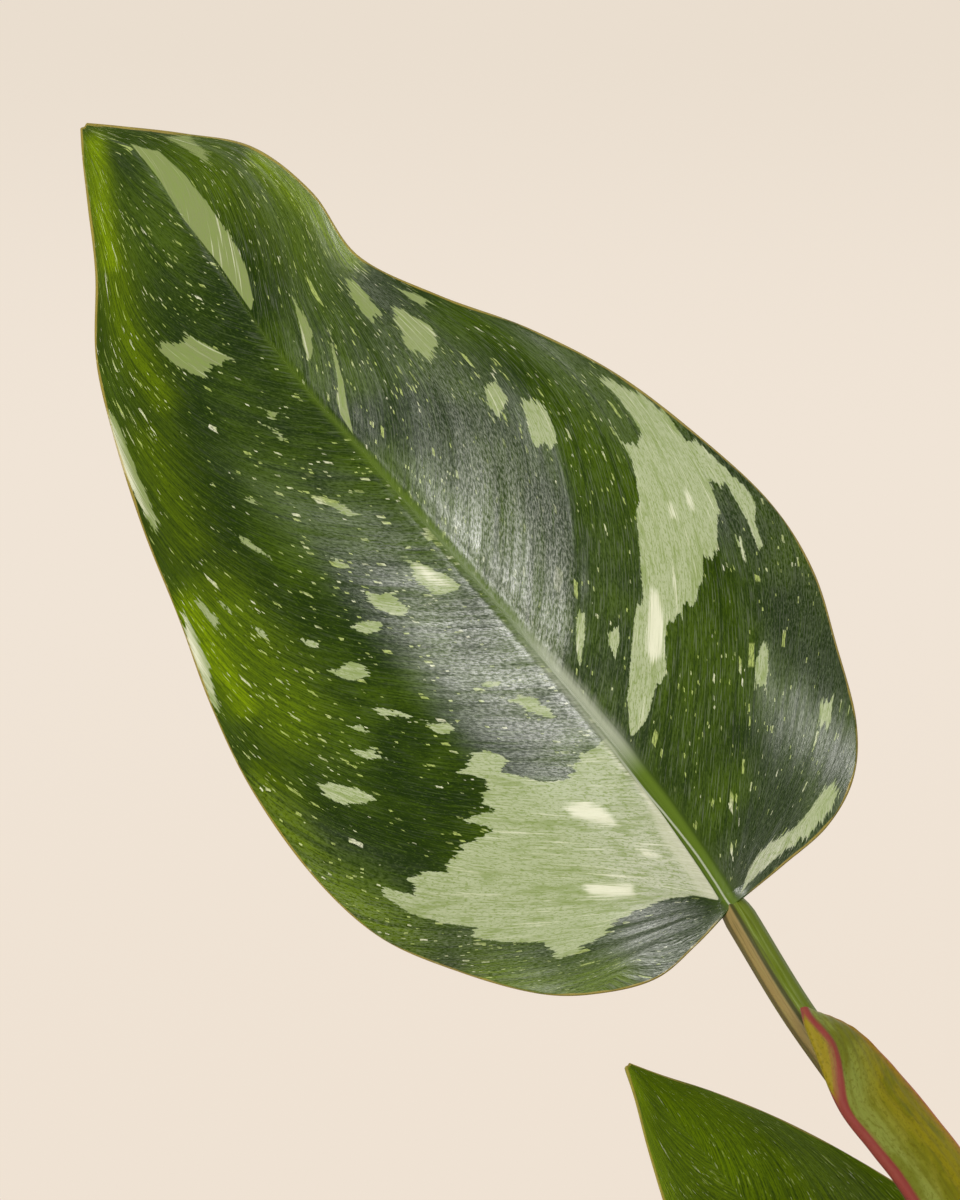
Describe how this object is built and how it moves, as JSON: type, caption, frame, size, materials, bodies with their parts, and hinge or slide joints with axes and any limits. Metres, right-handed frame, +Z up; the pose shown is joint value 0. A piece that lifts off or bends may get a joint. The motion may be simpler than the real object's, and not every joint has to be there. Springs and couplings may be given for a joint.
{
  "type": "potted white princess philodendron",
  "caption": "Leafy aroid house plant with broad pointed leaves flecked and sectored in pale green, on long stalks round one stem, growing in a plain tapered clay pot.",
  "frame": {"origin": "middle of the pot's flat foot", "axes": "+Z up along the pot's axis, -Y towards the plant's front, the side the large upper leaf faces"},
  "size_m": [0.3325, 0.3431, 0.3947],
  "materials": {
    "clay": "matte unglazed terracotta",
    "soil": "rough dark potting mix with bark",
    "stem": "satin green stem with brown rings",
    "stalk": "satin olive green, pink tinged",
    "leaf": "waxy satin deep green, variegated in pale sage",
    "sheath": "satin olive with pink keel and margin"
  },
  "bodies": {
    "root": {"pot": "clay", "soil": "soil", "stem": "stem", "sheath": "sheath", "leaf_1_stalk": "stalk", "leaf_1_blade": "leaf", "leaf_2_stalk": "stalk", "leaf_2_blade": "leaf", "leaf_3_stalk": "stalk", "leaf_3_blade": "leaf", "leaf_4_stalk": "stalk", "leaf_4_blade": "leaf", "leaf_5_stalk": "stalk", "leaf_5_blade": "leaf", "leaf_6_stalk": "stalk", "leaf_6_blade": "leaf", "leaf_7_stalk": "stalk", "leaf_7_blade": "leaf", "leaf_8_stalk": "stalk", "leaf_8_blade": "leaf", "leaf_9_stalk": "stalk", "leaf_9_blade": "leaf"}
  },
  "joints": []
}
